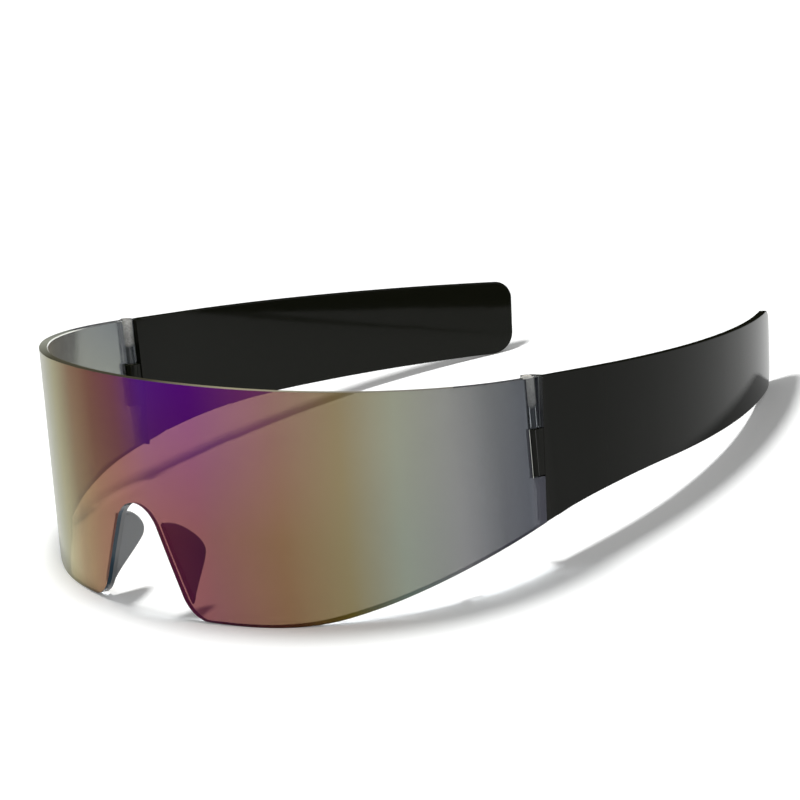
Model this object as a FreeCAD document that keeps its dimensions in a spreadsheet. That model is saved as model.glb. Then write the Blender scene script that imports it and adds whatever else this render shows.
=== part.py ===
import FreeCAD, Part
import math
import os

import Sketcher
from FreeCAD import Placement, Rotation, Vector

# Rimless visor sunglasses: one wrapped shield lens, two black temples, a hinge screw at each end
# of the lens and a nose pad on each side of the nose notch.
# The glasses are drawn with the top edges of lens and temples in the plane z = 0, the lens front at
# the origin, +X to the wearer's left and +Y backwards. They are then stood on the table, on the two
# lobes of the lens and the two temple tips. Lengths are in millimetres, angles in degrees.
dimensions = {
    # lens, seen from above: front arc, cheek arc, side arc and a short straight end
    "lens_width": 144.0,
    "front_angle": 15.2,
    "cheek_radius": 67.0,
    "cheek_angle": 25.4,
    "side_radius": 41.7,
    "end_straight": 3.05,
    "lens_wall": 2.0,
    "lens_lean": 2.9,
    # lower edge of lens and temples, seen from the side
    "lens_height": 50.0,
    "lobe_reach": 2.1,
    "lobe_radius": 29.5,
    "sweep_angle": 29.0,
    "sweep_start": 22.0,
    "sweep_radius": 169.0,
    "temple_taper": 4.9,
    # nose notch and the rounded lobe beside it, seen from the front
    "notch_top": 27.0,
    "notch_radius": 7.9,
    "notch_flare": 25.4,
    "lobe_corner": 8.3,
    # temple
    "temple_straight": 13.95,
    "temple_curve_radius": 133.0,
    "temple_curve_length": 88.0,
    "temple_wall": 1.8,
    "tip_top_share": 0.235,
    "tip_bottom_share": 0.323,
    "block_depth": 3.8,
    "block_length": 0.5,
    "block_ramp": 1.5,
    # hinge; the pin line leans back as it goes down
    "pin_inset": 1.75,
    "pin_setback": 2.53,
    "pin_lean": 4.0,
    "barrel_radius": 1.3,
    "collar_radius": 1.4,
    "collar_rise": 0.3,
    "collar_height": 0.9,
    "boss_height": 3.2,
    "boss_radius": 1.05,
    "boss_tip_radius": 0.6,
    "slot_top": 10.4,
    "slot_height": 10.0,
    "slot_reach": 2.05,
    "knuckle_radius": 1.7,
    "butt_gap": 0.15,
    "hinge_clearance": 0.2,
    # screw and its stepped bore
    "head_bore_radius": 0.95,
    "head_bore_depth": 5.4,
    "seat_height": 0.8,
    "shank_bore_radius": 0.65,
    "bore_tip_height": 2.3,
    "screw_clearance": 0.05,
    "head_height": 2.2,
    "driver_slot_width": 0.45,
    "driver_slot_depth": 0.6,
    # nose pad
    "pad_wall": 1.3,
    "pad_height": 18.4,
    "pad_depth": 5.6,
    "pad_top_radius": 6.2,
    "pad_bottom_radius": 1.2,
    "pad_bottom_depth": 0.6,
    "pad_flare": 9.0,
    "pad_drop": 3.8,
    "pad_edge_inset": 0.3,
    "pad_edge": 0.5,
    # one overrun for everything that is cut through
    "overrun": 5.0,
    # how closely the rounded feet are followed when the glasses are stood up
    "foot_spacing": 0.02,
}

doc = FreeCAD.newDocument("sports_sunglasses")
sizes = doc.addObject("Spreadsheet::Sheet", "sizes")
for row, (alias, number) in enumerate(dimensions.items(), 1):
    sizes.set("A%d" % row, alias)
    sizes.set("B%d" % row, str(number))
    sizes.setAlias("B%d" % row, alias)
doc.recompute()

# Places that follow from the cells
derived_places = {
    "side_start": "sizes.front_angle + sizes.cheek_angle",
    "front_radius": "(sizes.lens_width / 2"
    " - sizes.cheek_radius * (sin(side_start) - sin(sizes.front_angle))"
    " - sizes.side_radius * (1 - sin(side_start))) / sin(sizes.front_angle)",
    "hinge_y": "front_radius - (front_radius - sizes.cheek_radius) * cos(sizes.front_angle)"
    " - (sizes.cheek_radius - sizes.side_radius) * cos(side_start) + sizes.end_straight",
    "pin_x": "sizes.lens_width / 2 - sizes.pin_inset",
    "pin_y": "hinge_y - sizes.pin_setback",
    "temple_front": "hinge_y + sizes.butt_gap",
    "temple_reach": "hinge_y + sizes.temple_straight + sizes.temple_curve_length",
    "temple_curve_angle": "sizes.temple_curve_length / sizes.temple_curve_radius * 180 / pi",
    "slot_bottom": "sizes.slot_top + sizes.slot_height",
    "slot_front": "pin_y - sizes.slot_reach",
    "tongue_top": "sizes.slot_top + sizes.hinge_clearance",
    "tongue_bottom": "slot_bottom - sizes.hinge_clearance",
    "seat_bottom": "sizes.head_bore_depth + sizes.seat_height",
    "slot_floor": "sizes.head_height - sizes.head_bore_depth - sizes.driver_slot_depth",
    "lobe_end": "sizes.lobe_reach + sizes.lobe_radius * sin(sizes.sweep_angle)",
    "sweep_end": "sizes.sweep_start"
    " + sizes.sweep_radius * (sin(sizes.sweep_angle) - sin(sizes.temple_taper))",
    "tip_height": "sizes.lens_height - sizes.lobe_radius * (1 - cos(sizes.sweep_angle))"
    " - (sizes.sweep_start - lobe_end) * tan(sizes.sweep_angle)"
    " - sizes.sweep_radius * (cos(sizes.temple_taper) - cos(sizes.sweep_angle))"
    " - (temple_reach - sweep_end) * tan(sizes.temple_taper)",
    "tip_top_corner": "tip_height * sizes.tip_top_share",
    "tip_bottom_corner": "tip_height * sizes.tip_bottom_share",
}
derived = doc.addObject("App::VarSet", "derived")
for name, expression in derived_places.items():
    derived.addProperty("App::PropertyFloat", name)
    derived.setExpression(name, expression)
doc.recompute()


def value(name):
    """Number in a cell, or a place that follows from the cells."""
    return float(getattr(sizes if name in dimensions else derived, name))


def polar(centre, radius, angle):
    return centre + Vector(radius * math.cos(angle), radius * math.sin(angle), 0)


def arc(centre, radius, start, end):
    return Part.ArcOfCircle(Part.Circle(centre, Vector(0, 0, 1), radius), start, end)


def new_body(name):
    return doc.addObject("PartDesign::Body", name)


def origin_plane(body, role):
    return [feature for feature in body.Origin.OriginFeatures if feature.Role == role][0]


def sketch_on(body, name, role, offset=None):
    """Sketch on one of the body's own origin planes, moved along the plane's normal."""
    sketch = body.newObject("Sketcher::SketchObject", name)
    sketch.AttachmentSupport = [(origin_plane(body, role), "")]
    sketch.MapMode = "FlatFace"
    if offset:
        sketch.setExpression("AttachmentOffset.Base.z", offset)
    return sketch


def bind(sketch, name, expression, *constraint):
    """Dimension that follows the cells."""
    index = sketch.addConstraint(Sketcher.Constraint(*constraint))
    sketch.renameConstraint(index, name)
    sketch.setExpression("Constraints." + name, expression)


def rule(sketch, *constraints):
    for constraint in constraints:
        sketch.addConstraint(Sketcher.Constraint(*constraint))


def closed_outline(sketch, points):
    """Straight-sided closed outline."""
    count = len(points)
    for index in range(count):
        sketch.addGeometry(Part.LineSegment(points[index], points[(index + 1) % count]))
    for index in range(count):
        rule(sketch, ("Coincident", index, 2, (index + 1) % count, 1))


def number(sketch, text):
    """Number that an expression gives now, as a place to start the sketch from."""
    return float(sketch.evalExpression(text))


def corner_outline(sketch, points):
    """Straight-sided outline from the place of each corner in expressions; None is a place on the
    sketch's upright axis."""
    corners = [Vector(number(sketch, across or "0"), number(sketch, up), 0) for across, up in points]
    closed_outline(sketch, corners)
    for index, (across, up) in enumerate(points):
        if across:
            bind(sketch, "across%d" % index, across, "DistanceX", -1, 1, index, 1, corners[index].x)
        else:
            rule(sketch, ("PointOnObject", index, 1, -2))
        bind(sketch, "up%d" % index, up, "DistanceY", -1, 1, index, 1, corners[index].y)


def pad(body, sketch, name, length, downwards=True):
    feature = body.newObject("PartDesign::Pad", name)
    feature.Profile = sketch
    feature.setExpression("Length", length)
    feature.Reversed = downwards
    return feature


def cut_through(body, sketch, name):
    """Cut the outline through the whole body, both ways from the sketch."""
    feature = body.newObject("PartDesign::Pocket", name)
    feature.Profile = sketch
    feature.Type = "ThroughAll"
    feature.SideType = "Symmetric"
    return feature


def fillet(body, base, name, radius, wanted):
    """Round the edges of the last shape that the test picks out."""
    doc.recompute()
    edges = ["Edge%d" % number for number, edge in enumerate(base.Shape.Edges, 1) if wanted(edge)]
    feature = body.newObject("PartDesign::Fillet", name)
    feature.Base = (base, edges)
    feature.setExpression("Radius", radius)
    return feature


def lower_edge_cut(body):
    """Everything below the sweeping lower edge that lens and temples share, seen from the side."""
    sketch = sketch_on(body, body.Name + "_lower_edge", "YZ_Plane")
    sweep = math.radians(value("sweep_angle"))
    taper = math.radians(value("temple_taper"))
    over = value("overrun")
    height = value("lens_height")
    lobe_centre = Vector(value("lobe_reach"), value("lobe_radius") - height, 0)
    lobe_start = polar(lobe_centre, value("lobe_radius"), -math.pi / 2)
    lobe_end = polar(lobe_centre, value("lobe_radius"), sweep - math.pi / 2)
    run = value("sweep_start") - lobe_end.x
    sweep_start = lobe_end + Vector(run, run * math.tan(sweep), 0)
    sweep_centre = polar(sweep_start, value("sweep_radius"), sweep - math.pi / 2)
    sweep_end = polar(sweep_centre, value("sweep_radius"), taper + math.pi / 2)
    run = value("temple_reach") + over - sweep_end.x
    back = sweep_end + Vector(run, run * math.tan(taper), 0)
    front = Vector(-over, -height, 0)
    deep = Vector(0, -over, 0)
    sketch.addGeometry(Part.LineSegment(front, lobe_start))
    sketch.addGeometry(arc(lobe_centre, value("lobe_radius"), -math.pi / 2, sweep - math.pi / 2))
    sketch.addGeometry(Part.LineSegment(lobe_end, sweep_start))
    sketch.addGeometry(arc(sweep_centre, value("sweep_radius"), taper + math.pi / 2, sweep + math.pi / 2))
    sketch.addGeometry(Part.LineSegment(sweep_end, back))
    sketch.addGeometry(Part.LineSegment(back, Vector(back.x, -height, 0) + deep))
    sketch.addGeometry(Part.LineSegment(Vector(back.x, -height, 0) + deep, front + deep))
    sketch.addGeometry(Part.LineSegment(front + deep, front))
    rule(
        sketch,
        ("Tangent", 0, 2, 1, 1),
        ("Tangent", 1, 2, 2, 1),
        ("Tangent", 2, 2, 3, 2),
        ("Tangent", 3, 1, 4, 1),
        ("Coincident", 4, 2, 5, 1),
        ("Coincident", 5, 2, 6, 1),
        ("Coincident", 6, 2, 7, 1),
        ("Coincident", 7, 2, 0, 1),
        ("Horizontal", 0),
        ("Vertical", 5),
        ("Horizontal", 6),
        ("Vertical", 7),
    )
    bind(sketch, "height", "sizes.lens_height", "DistanceY", 0, 1, -1, 1, height)
    bind(sketch, "front", "sizes.overrun", "DistanceX", 0, 1, -1, 1, over)
    bind(sketch, "lobe_reach", "sizes.lobe_reach", "DistanceX", -1, 1, 1, 1, value("lobe_reach"))
    bind(sketch, "lobe_radius", "sizes.lobe_radius", "Radius", 1, value("lobe_radius"))
    bind(sketch, "sweep_angle", "sizes.sweep_angle", "Angle", 1, sweep)
    bind(sketch, "sweep_start", "sizes.sweep_start", "DistanceX", -1, 1, 2, 2, sweep_start.x)
    bind(sketch, "sweep_radius", "sizes.sweep_radius", "Radius", 3, value("sweep_radius"))
    bind(sketch, "taper", "sizes.sweep_angle - sizes.temple_taper", "Angle", 3, sweep - taper)
    bind(sketch, "back", "derived.temple_reach + sizes.overrun", "DistanceX", -1, 1, 4, 2, back.x)
    bind(sketch, "depth", "sizes.overrun", "DistanceY", 7, 1, 7, 2, over)
    return cut_through(body, sketch, body.Name + "_lower_edge_cut")


# Shield lens, drawn as its +X half and mirrored
def lens_wall_plan(body):
    sketch = sketch_on(body, "lens_plan", "XY_Plane")
    wall = value("lens_wall")
    first = math.radians(value("front_angle"))
    second = math.radians(value("side_start"))
    down = -math.pi / 2
    radii = [value("front_radius"), value("cheek_radius"), value("side_radius")]
    turns = [down, down + first, down + second, 0]
    centres = [Vector(0, radii[0], 0)]
    for step in (1, 2):
        centres.append(polar(centres[-1], radii[step - 1] - radii[step], turns[step]))
    for centre, radius, begin, end in zip(centres, radii, turns, turns[1:]):
        sketch.addGeometry(arc(centre, radius, begin, end))
    outer_end = polar(centres[2], radii[2], 0)
    straight = Vector(0, value("end_straight"), 0)
    inward = Vector(-wall, 0, 0)
    sketch.addGeometry(Part.LineSegment(outer_end, outer_end + straight))
    sketch.addGeometry(Part.LineSegment(outer_end + straight, outer_end + straight + inward))
    sketch.addGeometry(Part.LineSegment(outer_end + straight + inward, outer_end + inward))
    for centre, radius, begin, end in reversed(list(zip(centres, radii, turns, turns[1:]))):
        sketch.addGeometry(arc(centre, radius - wall, begin, end))
    sketch.addGeometry(Part.LineSegment(Vector(0, wall, 0), Vector(0, 0, 0)))
    rule(
        sketch,
        ("Tangent", 0, 2, 1, 1),
        ("Tangent", 1, 2, 2, 1),
        ("Tangent", 2, 2, 3, 1),
        ("Coincident", 3, 2, 4, 1),
        ("Coincident", 4, 2, 5, 1),
        ("Tangent", 5, 2, 6, 2),
        ("Tangent", 6, 1, 7, 2),
        ("Tangent", 7, 1, 8, 2),
        ("Coincident", 8, 1, 9, 1),
        ("Coincident", 9, 2, 0, 1),
        ("Coincident", 0, 1, -1, 1),
        ("PointOnObject", 0, 3, -2),
        ("Coincident", 6, 3, 2, 3),
        ("Coincident", 7, 3, 1, 3),
        ("Coincident", 8, 3, 0, 3),
        ("Vertical", 3),
        ("Horizontal", 4),
        ("Vertical", 5),
        ("Vertical", 9),
    )
    bind(sketch, "half_width", "sizes.lens_width / 2", "DistanceX", -1, 1, 3, 1, value("lens_width") / 2)
    bind(sketch, "front_angle", "sizes.front_angle", "Angle", 0, first)
    bind(sketch, "cheek_angle", "sizes.cheek_angle", "Angle", 1, second - first)
    bind(sketch, "cheek_radius", "sizes.cheek_radius", "Radius", 1, radii[1])
    bind(sketch, "side_radius", "sizes.side_radius", "Radius", 2, radii[2])
    bind(sketch, "straight", "sizes.end_straight", "DistanceY", 3, 1, 3, 2, value("end_straight"))
    bind(sketch, "wall", "sizes.lens_wall", "DistanceY", 9, 2, 9, 1, wall)
    return sketch


def nose_notch_plan(body):
    """Nose notch and the rounded lobe beside it, seen from the front."""
    sketch = sketch_on(body, "nose_notch", "XZ_Plane")
    over = value("overrun")
    height = value("lens_height")
    flare = math.radians(value("notch_flare"))
    top = Vector(0, -value("notch_top"), 0)
    notch_centre = top - Vector(0, value("notch_radius"), 0)
    flank_start = polar(notch_centre, value("notch_radius"), flare)
    corner = value("lobe_corner")
    flank_drop = flank_start.y + height - corner + corner * math.sin(flare)
    flank_end = flank_start + Vector(flank_drop * math.tan(flare), -flank_drop, 0)
    corner_centre = polar(flank_end, corner, flare)
    lobe_start = polar(corner_centre, corner, -math.pi / 2)
    side = Vector(value("lens_width") / 2 + over, lobe_start.y, 0)
    deep = Vector(0, -over, 0)
    left = Vector(-over, 0, 0)
    sketch.addGeometry(arc(notch_centre, value("notch_radius"), flare, math.pi / 2))
    sketch.addGeometry(Part.LineSegment(flank_start, flank_end))
    sketch.addGeometry(arc(corner_centre, corner, flare + math.pi, math.pi * 3 / 2))
    sketch.addGeometry(Part.LineSegment(lobe_start, side))
    sketch.addGeometry(Part.LineSegment(side, side + deep))
    sketch.addGeometry(Part.LineSegment(side + deep, Vector(-over, side.y, 0) + deep))
    sketch.addGeometry(Part.LineSegment(Vector(-over, side.y, 0) + deep, top + left))
    sketch.addGeometry(Part.LineSegment(top + left, top))
    rule(
        sketch,
        ("Tangent", 0, 1, 1, 1),
        ("Tangent", 1, 2, 2, 1),
        ("Tangent", 2, 2, 3, 1),
        ("Coincident", 3, 2, 4, 1),
        ("Coincident", 4, 2, 5, 1),
        ("Coincident", 5, 2, 6, 1),
        ("Coincident", 6, 2, 7, 1),
        ("Tangent", 7, 2, 0, 2),
        ("PointOnObject", 0, 3, -2),
        ("Horizontal", 3),
        ("Vertical", 4),
        ("Horizontal", 5),
        ("Vertical", 6),
        ("Horizontal", 7),
    )
    bind(sketch, "top", "sizes.notch_top", "DistanceY", 0, 2, -1, 1, value("notch_top"))
    bind(sketch, "radius", "sizes.notch_radius", "Radius", 0, value("notch_radius"))
    bind(sketch, "flare", "90 - sizes.notch_flare", "Angle", 0, math.pi / 2 - flare)
    bind(sketch, "corner", "sizes.lobe_corner", "Radius", 2, corner)
    bind(sketch, "height", "sizes.lens_height", "DistanceY", 2, 2, -1, 1, height)
    bind(sketch, "side", "sizes.lens_width / 2 + sizes.overrun", "DistanceX", -1, 1, 3, 2, side.x)
    bind(sketch, "depth", "sizes.overrun", "DistanceY", 4, 2, 4, 1, over)
    bind(sketch, "left", "sizes.overrun", "DistanceX", 6, 1, -1, 1, over)
    return sketch


def round_boss(body, name, kind, low, height, lean="sizes.pin_lean", **radii):
    """Boss about the pin line, or about a line through its top end with another lean; all its
    measures are expressions."""
    boss = body.newObject("PartDesign::Additive" + kind, name)
    boss.AttachmentSupport = [(origin_plane(body, "XY_Plane"), "")]
    boss.MapMode = "FlatFace"
    boss.AttachmentOffset = Placement(Vector(), Rotation(Vector(1, 0, 0), value("pin_lean")))
    boss.setExpression("AttachmentOffset.Rotation.Angle", lean)
    boss.setExpression("AttachmentOffset.Base.x", "derived.pin_x")
    boss.setExpression("AttachmentOffset.Base.y", "derived.pin_y - (%s) * tan(%s)" % (low, lean))
    boss.setExpression("AttachmentOffset.Base.z", low)
    boss.setExpression("Height", height)
    for measure, text in radii.items():
        boss.setExpression(measure, text)
    return boss


def pin_outline(body, name, points):
    """Outline in the side plane through the pin line, measured across and along that line."""
    sketch = sketch_on(body, name, "YZ_Plane", "derived.pin_x")
    sketch.AttachmentOffset = Placement(Vector(), Rotation(Vector(0, 0, 1), value("pin_lean")))
    sketch.setExpression("AttachmentOffset.Rotation.Angle", "sizes.pin_lean")
    sketch.setExpression("AttachmentOffset.Base.x", "derived.pin_y")
    corner_outline(sketch, points)
    return sketch


def turn(body, sketch, name, kind):
    """Revolution or Groove of an outline about the pin line."""
    feature = body.newObject("PartDesign::" + kind, name)
    feature.Profile = sketch
    feature.ReferenceAxis = (sketch, ["V_Axis"])
    feature.Angle = 360
    return feature


def side_window(body, name, points):
    """Outline seen from the side, cut through the whole body."""
    sketch = sketch_on(body, name, "YZ_Plane")
    corner_outline(sketch, points)
    return cut_through(body, sketch, name + "_cut")


def lean_down(feature, lean):
    """Let the pad go backwards as it goes down, by an angle given as an expression."""
    feature.Reversed = False
    feature.UseCustomVector = True
    feature.Direction = Vector(0, math.tan(math.radians(number(feature, lean))), -1)
    feature.setExpression("Direction.y", "tan(%s)" % lean)


def plan_block(body, name, outline, top, height):
    """Block with a straight-sided plan, hung from a height, all in expressions."""
    sketch = sketch_on(body, name + "_plan", "XY_Plane", top)
    corner_outline(sketch, outline)
    return pad(body, sketch, name, height)


lens = new_body("shield_lens")
wall = pad(lens, lens_wall_plan(lens), "lens_wall_pad", "sizes.lens_height + sizes.overrun")
lean_down(wall, "sizes.lens_lean")
lower_edge_cut(lens)
cut_through(lens, nose_notch_plan(lens), "nose_notch_cut")
side_window(
    lens,
    "lens_end",
    [
        ("derived.hinge_y", "-sizes.lens_height - sizes.overrun"),
        ("derived.temple_reach", "-sizes.lens_height - sizes.overrun"),
        ("derived.temple_reach", "sizes.overrun"),
        ("derived.hinge_y", "sizes.overrun"),
    ],
)

# Hinge end of the lens: barrel above the slot with an upright collar on top, a pointed boss below
# the slot, one stepped bore through all three
round_boss(
    lens,
    "barrel",
    "Cylinder",
    "-sizes.slot_top - sizes.slot_height / 2",
    "sizes.slot_top + sizes.slot_height / 2",
    Radius="sizes.barrel_radius",
)
round_boss(
    lens,
    "barrel_collar",
    "Cylinder",
    "sizes.collar_rise - sizes.collar_height",
    "sizes.collar_height",
    "0",
    Radius="sizes.collar_radius",
)
round_boss(
    lens,
    "lower_boss",
    "Cone",
    "-derived.slot_bottom - sizes.boss_height",
    "sizes.boss_height",
    Radius1="sizes.boss_tip_radius",
    Radius2="sizes.boss_radius",
)
side_window(
    lens,
    "hinge_slot",
    [
        ("derived.slot_front + derived.slot_bottom * tan(sizes.pin_lean)", "-derived.slot_bottom"),
        ("derived.temple_reach", "-derived.slot_bottom"),
        ("derived.temple_reach", "-sizes.slot_top"),
        ("derived.slot_front + sizes.slot_top * tan(sizes.pin_lean)", "-sizes.slot_top"),
    ],
)
bore = pin_outline(
    lens,
    "screw_bore",
    [
        (None, "sizes.collar_rise + sizes.overrun"),
        ("sizes.head_bore_radius", "sizes.collar_rise + sizes.overrun"),
        ("sizes.head_bore_radius", "-sizes.head_bore_depth"),
        ("sizes.shank_bore_radius", "-derived.seat_bottom"),
        ("sizes.shank_bore_radius", "-derived.slot_bottom"),
        (None, "-derived.slot_bottom - sizes.bore_tip_height"),
    ],
)
turn(lens, bore, "screw_bore_cut", "Groove")
doc.recompute()
whole_lens = lens.newObject("PartDesign::Mirrored", "whole_lens")
whole_lens.TransformMode = "Whole shape"
whole_lens.MirrorPlane = (origin_plane(lens, "YZ_Plane"), [""])
lens.Tip = whole_lens

# Hinge screw: head on the seat of the bore, shank through the tongue, point in the blind end
screw = new_body("hinge_screw_left")
screw_outline = pin_outline(
    screw,
    "screw_outline",
    [
        (None, "sizes.head_height - sizes.head_bore_depth"),
        ("sizes.head_bore_radius - sizes.screw_clearance", "sizes.head_height - sizes.head_bore_depth"),
        ("sizes.head_bore_radius - sizes.screw_clearance", "-sizes.head_bore_depth"),
        ("sizes.shank_bore_radius - sizes.screw_clearance", "-derived.seat_bottom"),
        ("sizes.shank_bore_radius - sizes.screw_clearance", "-derived.slot_bottom"),
        (None, "-derived.slot_bottom - sizes.bore_tip_height + 2 * sizes.screw_clearance"),
    ],
)
turn(screw, screw_outline, "screw_turned", "Revolution")
driver_slot = pin_outline(
    screw,
    "driver_slot",
    [
        ("-sizes.driver_slot_width / 2", "derived.slot_floor"),
        ("sizes.driver_slot_width / 2", "derived.slot_floor"),
        ("sizes.driver_slot_width / 2", "derived.slot_floor + sizes.overrun"),
        ("-sizes.driver_slot_width / 2", "derived.slot_floor + sizes.overrun"),
    ],
)
cut_through(screw, driver_slot, "driver_slot_cut")


# Temple: thin band that curves in behind the head, with a thick hinge block and a knuckled tongue
def temple_plan(body):
    sketch = sketch_on(body, "temple_plan", "XY_Plane")
    wall = value("temple_wall")
    angle = math.radians(value("temple_curve_angle"))
    radius = value("temple_curve_radius")
    front = Vector(value("lens_width") / 2, value("temple_front"), 0)
    bend = front + Vector(0, value("temple_straight"), 0)
    centre = bend - Vector(radius, 0, 0)
    inward = Vector(-wall, 0, 0)
    tip = polar(centre, radius, angle)
    inner_tip = polar(centre, radius - wall, angle)
    sketch.addGeometry(Part.LineSegment(front, bend))
    sketch.addGeometry(arc(centre, radius, 0, angle))
    sketch.addGeometry(Part.LineSegment(tip, inner_tip))
    sketch.addGeometry(arc(centre, radius - wall, 0, angle))
    sketch.addGeometry(Part.LineSegment(bend + inward, front + inward))
    sketch.addGeometry(Part.LineSegment(front + inward, front))
    rule(
        sketch,
        ("Tangent", 0, 2, 1, 1),
        ("Perpendicular", 1, 2, 2, 1),
        ("Coincident", 2, 2, 3, 2),
        ("Tangent", 3, 1, 4, 1),
        ("Coincident", 4, 2, 5, 1),
        ("Coincident", 5, 2, 0, 1),
        ("Coincident", 3, 3, 1, 3),
        ("Vertical", 0),
        ("Vertical", 4),
        ("Horizontal", 5),
    )
    bind(sketch, "side", "sizes.lens_width / 2", "DistanceX", -1, 1, 0, 1, front.x)
    bind(sketch, "front", "derived.temple_front", "DistanceY", -1, 1, 0, 1, front.y)
    bind(sketch, "straight", "sizes.temple_straight", "DistanceY", 0, 1, 0, 2, bend.y - front.y)
    bind(sketch, "radius", "sizes.temple_curve_radius", "Radius", 1, radius)
    bind(sketch, "curve", "derived.temple_curve_angle", "Angle", 1, angle)
    bind(sketch, "wall", "sizes.temple_wall", "DistanceX", 5, 1, 5, 2, wall)
    return sketch


temple = new_body("temple_left")
pad(temple, temple_plan(temple), "temple_band", "sizes.lens_height")
block_inside = "sizes.lens_width / 2 - sizes.block_depth"
band_middle = "sizes.lens_width / 2 - sizes.temple_wall / 2"
plan_block(
    temple,
    "hinge_block",
    [
        (band_middle, "derived.temple_front"),
        (block_inside, "derived.temple_front"),
        (block_inside, "derived.temple_front + sizes.block_length"),
        (band_middle, "derived.temple_front + sizes.block_length + sizes.block_ramp"),
    ],
    "0",
    "sizes.lens_height",
)
band = lower_edge_cut(temple)


def at_tip(edge):
    """Short edges across the wall at the tip."""
    middle = edge.valueAt((edge.FirstParameter + edge.LastParameter) / 2)
    side = edge.BoundBox
    short = abs(edge.Length - value("temple_wall")) < value("temple_wall") / 10
    return short and middle.y > value("temple_front") + value("temple_straight") and side.ZLength < side.YLength


def near_top(edge):
    return edge.BoundBox.ZMax > -value("tip_top_corner") - value("temple_wall")


top_rounded = fillet(temple, band, "tip_top", "derived.tip_top_corner", lambda e: at_tip(e) and near_top(e))
fillet(
    temple, top_rounded, "tip_bottom", "derived.tip_bottom_corner", lambda e: at_tip(e) and not near_top(e)
)
tongue_inside = "derived.pin_x - sizes.knuckle_radius"
tongue_outside = "derived.pin_x + sizes.knuckle_radius"
tongue_height = "derived.tongue_bottom - derived.tongue_top"
block_middle = "derived.temple_front + sizes.block_length / 2"
pin_at_tongue = "derived.pin_y + derived.tongue_bottom * tan(sizes.pin_lean)"
plan_block(
    temple,
    "tongue",
    [
        (tongue_outside, pin_at_tongue),
        (tongue_inside, pin_at_tongue),
        (tongue_inside, block_middle),
        (tongue_outside, block_middle),
    ],
    "-derived.tongue_top",
    tongue_height,
)
round_boss(
    temple, "knuckle", "Cylinder", "-derived.tongue_bottom", tongue_height, Radius="sizes.knuckle_radius"
)
shoulder_front = "derived.pin_y + sizes.barrel_radius + sizes.hinge_clearance"
shoulder_outside = "sizes.lens_width / 2 - sizes.lens_wall - sizes.hinge_clearance"
shoulder = plan_block(
    temple,
    "shoulder",
    [
        (shoulder_outside, shoulder_front),
        (block_inside, shoulder_front),
        (block_inside, block_middle),
        (shoulder_outside, block_middle),
    ],
    "0",
    "derived.tongue_bottom",
)
lean_down(shoulder, "sizes.pin_lean")
pin_hole = pin_outline(
    temple,
    "pin_hole",
    [
        (None, "-derived.slot_bottom"),
        ("sizes.shank_bore_radius", "-derived.slot_bottom"),
        ("sizes.shank_bore_radius", "-sizes.slot_top"),
        (None, "-sizes.slot_top"),
    ],
)
turn(temple, pin_hole, "pin_hole_cut", "Groove")


# Nose pad: a D-shaped wing, drawn flat, then set along the notch's flank from the middle of the lens wall
def pad_outline(body):
    sketch = sketch_on(body, "pad_outline", "YZ_Plane")
    buried = value("lens_wall") / 2
    height = value("pad_height")
    top_radius = value("pad_top_radius")
    bottom_radius = value("pad_bottom_radius")
    top_centre = Vector(buried + value("pad_depth") - top_radius, -top_radius, 0)
    bottom_centre = Vector(buried + value("pad_bottom_depth") - bottom_radius, bottom_radius - height, 0)
    between = bottom_centre - top_centre
    lean = math.acos((top_radius - bottom_radius) / between.Length)
    lean = lean + math.atan2(between.y, between.x)
    front_top = Vector(0, 0, 0)
    front_bottom = Vector(0, -height, 0)
    top_start = polar(top_centre, top_radius, math.pi / 2)
    top_end = polar(top_centre, top_radius, lean)
    bottom_start = polar(bottom_centre, bottom_radius, lean)
    bottom_end = polar(bottom_centre, bottom_radius, -math.pi / 2)
    sketch.addGeometry(Part.LineSegment(front_top, top_start))
    sketch.addGeometry(arc(top_centre, top_radius, lean, math.pi / 2))
    sketch.addGeometry(Part.LineSegment(top_end, bottom_start))
    sketch.addGeometry(arc(bottom_centre, bottom_radius, -math.pi / 2, lean))
    sketch.addGeometry(Part.LineSegment(bottom_end, front_bottom))
    sketch.addGeometry(Part.LineSegment(front_bottom, front_top))
    rule(
        sketch,
        ("Tangent", 0, 2, 1, 2),
        ("Tangent", 1, 1, 2, 1),
        ("Tangent", 2, 2, 3, 2),
        ("Tangent", 3, 1, 4, 1),
        ("Coincident", 4, 2, 5, 1),
        ("Coincident", 5, 2, 0, 1),
        ("Coincident", 0, 1, -1, 1),
        ("Horizontal", 0),
        ("Horizontal", 4),
        ("Vertical", 5),
    )
    bind(sketch, "height", "sizes.pad_height", "DistanceY", 5, 1, -1, 1, height)
    bind(sketch, "top_radius", "sizes.pad_top_radius", "Radius", 1, top_radius)
    bind(sketch, "bottom_radius", "sizes.pad_bottom_radius", "Radius", 3, bottom_radius)
    top_reach = "sizes.lens_wall / 2 + sizes.pad_depth - sizes.pad_top_radius"
    bottom_reach = "sizes.lens_wall / 2 + sizes.pad_bottom_depth - sizes.pad_bottom_radius"
    bind(sketch, "top_reach", top_reach, "DistanceX", -1, 1, 1, 3, top_centre.x)
    bind(sketch, "bottom_reach", bottom_reach, "DistanceX", -1, 1, 3, 3, bottom_centre.x)
    return sketch


def wall_middle(depth):
    """Point in the middle of the lens wall beside the notch's flank, at a depth below the top edge."""
    flare = math.radians(value("notch_flare"))
    radius = value("notch_radius")
    flank_depth = value("notch_top") + radius - radius * math.sin(flare)
    side = radius * math.cos(flare) + (depth - flank_depth) * math.tan(flare)
    side = side + value("pad_edge_inset") / math.cos(flare)
    curve = value("front_radius")
    back = curve - math.sqrt(curve**2 - side**2) + depth * math.tan(math.radians(value("lens_lean")))
    return Vector(side, back + value("lens_wall") / 2, -depth)


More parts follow.
